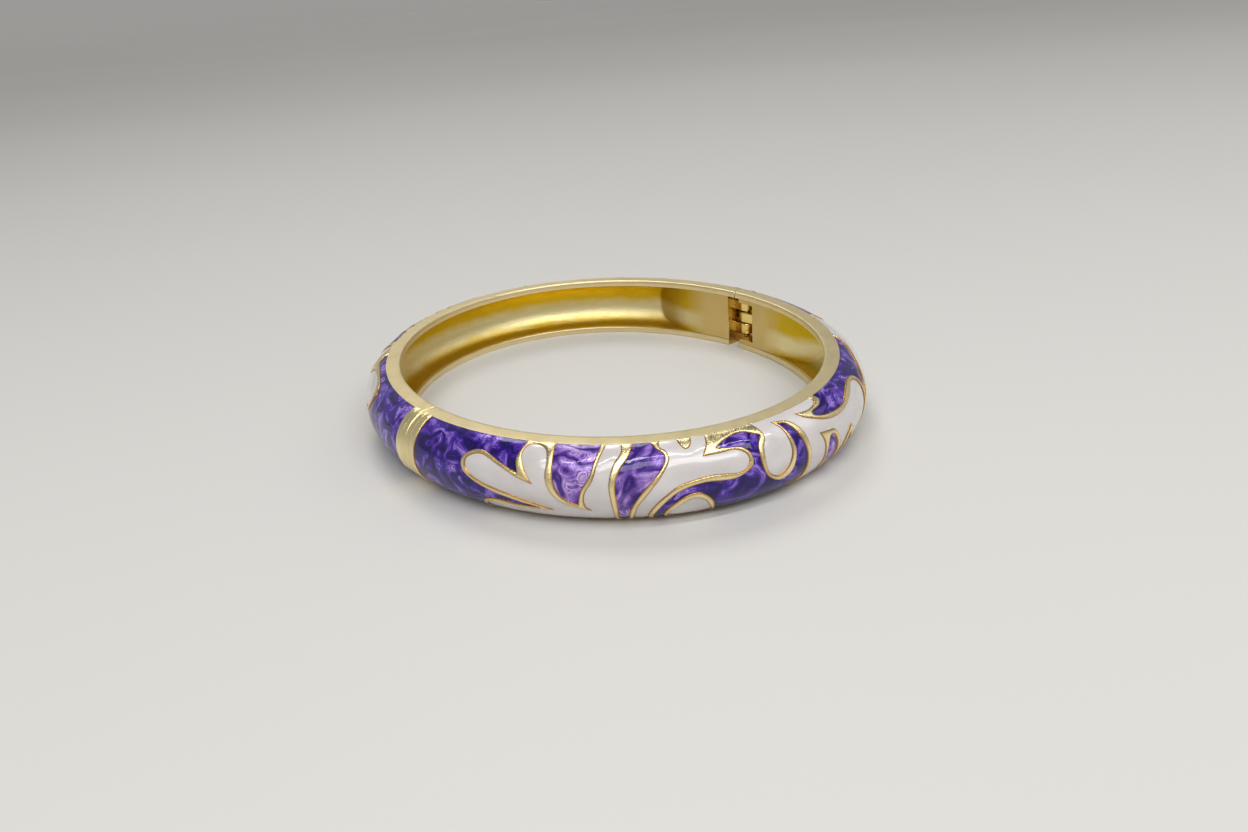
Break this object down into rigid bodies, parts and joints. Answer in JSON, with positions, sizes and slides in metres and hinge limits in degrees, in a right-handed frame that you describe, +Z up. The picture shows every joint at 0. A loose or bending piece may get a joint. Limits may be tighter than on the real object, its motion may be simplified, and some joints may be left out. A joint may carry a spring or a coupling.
{
  "type": "hinged bangle bracelet",
  "caption": "Oval hinged bangle with a domed outer face of violet and white enamel fields in gold-coloured cells, a knuckle hinge and a snap-in spring tongue.",
  "frame": {"origin": "centre of the oval at the height of the lower flat rim, which is the bottom centre of the bounding box", "axes": "+X from the clasp to the hinge, +Y across the long way of the oval towards the back half, +Z up along the ring's axis"},
  "size_m": [0.061, 0.07, 0.0087],
  "materials": {
    "cast_gold": "gold-coloured plating, bright inside the channel, satin on the flat rims and the bands at the clasp",
    "hinge_metal": "bright gold-coloured plating",
    "violet_enamel": "glossy pearlescent enamel with stirred swirls",
    "white_enamel": "glossy opaque off-white enamel"
  },
  "bodies": {
    "back_half": {"back_half_casting": "cast_gold", "hinge_pin": "hinge_metal", "back_violet_by_clasp": "violet_enamel", "back_white_branch": "white_enamel", "back_violet_shield": "violet_enamel", "back_violet_heart": "violet_enamel", "back_white_finger": "white_enamel", "back_white_drop": "white_enamel", "back_violet_wave": "violet_enamel", "back_white_sweep": "white_enamel", "back_violet_hook": "violet_enamel", "back_violet_foot": "violet_enamel", "back_violet_leaf": "violet_enamel", "back_white_leaf": "white_enamel", "back_violet_by_hinge": "violet_enamel"},
    "front_half": {"front_half_casting": "cast_gold", "clasp_tongue": "hinge_metal", "front_violet_by_clasp": "violet_enamel", "front_white_branch": "white_enamel", "front_violet_shield": "violet_enamel", "front_violet_heart": "violet_enamel", "front_white_finger": "white_enamel", "front_white_drop": "white_enamel", "front_violet_wave": "violet_enamel", "front_white_sweep": "white_enamel", "front_violet_hook": "violet_enamel", "front_violet_foot": "violet_enamel", "front_violet_leaf": "violet_enamel", "front_white_leaf": "white_enamel", "front_violet_by_hinge": "violet_enamel"}
  },
  "joints": [
    {"name": "hinge", "type": "hinge", "parent": "back_half", "child": "front_half", "pos_m": [0.0282, 0, 0], "axis": [0, 0, 1], "range_deg": [0, 50]}
  ]
}
